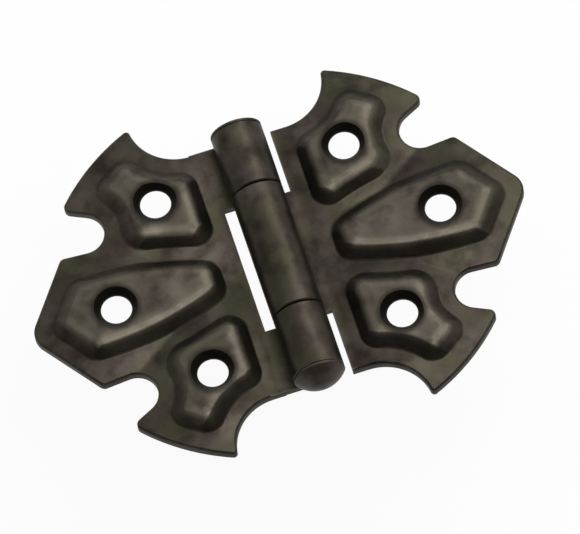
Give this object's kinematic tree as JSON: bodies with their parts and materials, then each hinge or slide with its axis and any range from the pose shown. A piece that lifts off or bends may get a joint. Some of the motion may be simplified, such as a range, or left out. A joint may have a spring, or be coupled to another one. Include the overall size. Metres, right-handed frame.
{
  "type": "decorative butterfly hinge",
  "caption": "Surface-mounted butterfly hinge with two pressed leaves of raised panels, rolled knuckles and a headed pin.",
  "frame": {"origin": "on the back plane of the leaves, under the middle of the pin", "axes": "+X across the leaves towards the one with the middle knuckle, +Y along the pin, +Z out of the front"},
  "size_m": [0.0588, 0.0434, 0.0061],
  "materials": {
    "bronze": "antique bronze plating, semi-gloss"
  },
  "bodies": {
    "left": {"left_leaf": "bronze", "pin": "bronze"},
    "right": {"right_leaf": "bronze"}
  },
  "joints": [
    {"name": "pin_turn", "type": "hinge", "parent": "left", "child": "right", "pos_m": [0, 0, 0.00305], "axis": [0, -1, 0], "range_deg": [-95, 180]}
  ]
}
